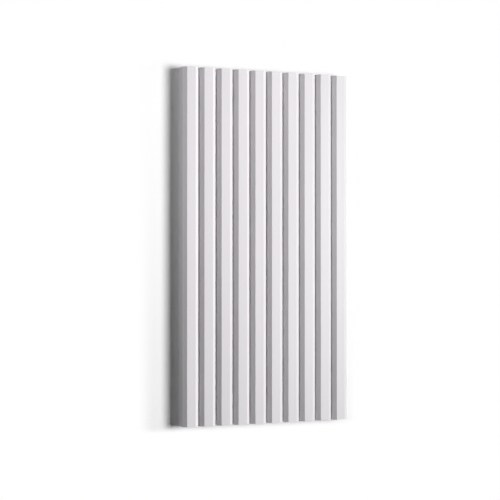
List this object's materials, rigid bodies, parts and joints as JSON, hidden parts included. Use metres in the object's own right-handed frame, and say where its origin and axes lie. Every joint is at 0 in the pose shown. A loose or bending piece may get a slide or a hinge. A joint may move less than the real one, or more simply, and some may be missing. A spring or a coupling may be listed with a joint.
{
  "type": "ribbed wall panel",
  "caption": "Rectangular white wall panel with a flat back and straight flat-topped ribs with sloping flanks, parted by narrow slots, bonded to a wall as decorative cladding.",
  "frame": {"origin": "middle of the flat back face, which lies on the floor", "axes": "+X across the ribs, +Y along the ribs, +Z out of the back towards the rib crests"},
  "size_m": [0.3068, 0.6, 0.0245],
  "materials": {
    "panel": "matt white primed rigid polymer, moulded"
  },
  "bodies": {
    "root": {"ribbed_panel": "panel"}
  },
  "joints": []
}
